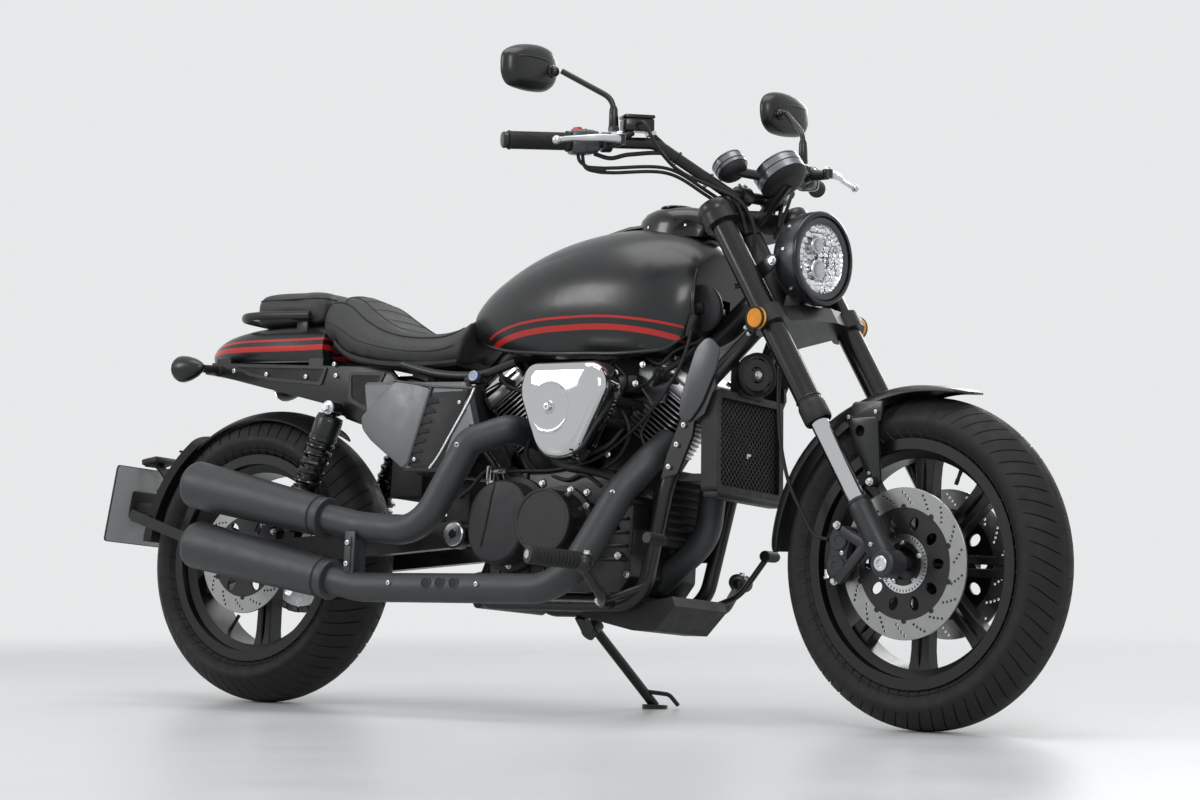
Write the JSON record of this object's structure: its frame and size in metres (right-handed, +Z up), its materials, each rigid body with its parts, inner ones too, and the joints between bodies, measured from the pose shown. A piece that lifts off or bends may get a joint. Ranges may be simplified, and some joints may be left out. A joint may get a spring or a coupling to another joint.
{
  "type": "cruiser motorcycle",
  "caption": "Cruiser motorcycle with an air-and-water-cooled V-twin, twin right-side mufflers and cast wheels, leaning on its side stand with the steering turned a little right.",
  "frame": {"origin": "on the floor, below the middle of the leaning bike's bounding box", "axes": "+X forward along the bike, +Y to the rider's left, +Z up"},
  "size_m": [2.3, 0.9569, 1.2848],
  "materials": {
    "paint_black": "satin",
    "frame_black": "gloss",
    "tyre": "matte",
    "rim_black": "gloss",
    "disc_steel": "brushed",
    "chain_steel": "satin",
    "fork_black": "satin",
    "stanchion_chrome": "polished",
    "cast_grey": "satin",
    "machined": "brushed",
    "chrome": "polished",
    "engine_dark": "satin",
    "fin_steel": "satin",
    "exhaust_dark": "matte",
    "rubber": "matte",
    "plastic_black": "matte",
    "seat_cover": "satin",
    "amber": "gloss",
    "lens_glass": "clear",
    "plate_white": "gloss"
  },
  "bodies": {
    "chassis": {"main_frame": "frame_black", "crankcase": "engine_dark", "engine_covers": "engine_dark", "cylinders": "fin_steel", "air_cleaner": "chrome", "exhaust_pipes": "exhaust_dark", "mufflers": "exhaust_dark", "fuel_tank": "paint_black", "tank_console": "paint_black", "rider_seat": "seat_cover", "pillion_pad": "seat_cover", "tail_cowl": "paint_black", "grab_rail": "frame_black", "tail_side_plates": "frame_black", "side_covers": "machined", "rear_lamps": "amber", "swingarm": "frame_black", "rear_shocks": "frame_black", "rear_mudguard": "plastic_black", "plate_holder": "plate_white", "rear_caliper": "paint_black", "drive_chain": "chain_steel", "radiator": "plastic_black", "belly_pan": "plastic_black", "foot_controls": "frame_black"},
    "steering": {"fork_tubes": "fork_black", "fork_stanchions": "stanchion_chrome", "fork_lowers": "cast_grey", "triple_clamps": "cast_grey", "fork_reflectors": "amber", "handlebar": "frame_black", "hand_controls": "rubber", "hand_levers": "machined", "mirrors": "paint_black", "headlight_shell": "paint_black", "headlight_lens": "lens_glass", "gauges": "plastic_black", "front_fender": "paint_black", "front_calipers": "paint_black", "brake_hose": "rubber"},
    "front_wheel": {"front_tyre": "tyre", "front_rim": "rim_black", "front_discs": "disc_steel"},
    "rear_wheel": {"rear_tyre": "tyre", "rear_rim": "rim_black", "rear_disc": "disc_steel", "rear_sprocket": "disc_steel"},
    "side_stand": {"side_stand": "frame_black"}
  },
  "joints": [
    {"name": "steering_turn", "type": "hinge", "parent": "chassis", "child": "steering", "pos_m": [0.81388, -0.08334, 0.2829], "axis": [-0.5213, 0.0774, 0.8499], "range_deg": [-30, 46]},
    {"name": "front_wheel_spin", "type": "hinge", "parent": "steering", "child": "front_wheel", "pos_m": [0.84768, -0.08702, 0.30396], "axis": [0.1188, 0.9928, -0.0175], "continuous": true},
    {"name": "rear_wheel_spin", "type": "hinge", "parent": "chassis", "child": "rear_wheel", "pos_m": [-0.73799, -0.08173, 0.30015], "axis": [0, 0.9959, -0.0906], "continuous": true},
    {"name": "side_stand_fold", "type": "hinge", "parent": "chassis", "child": "side_stand", "pos_m": [0.00606, 0.0489, 0.16902], "axis": [0.1451, 0.7485, 0.647], "range_deg": [0, 112.6]}
  ]
}
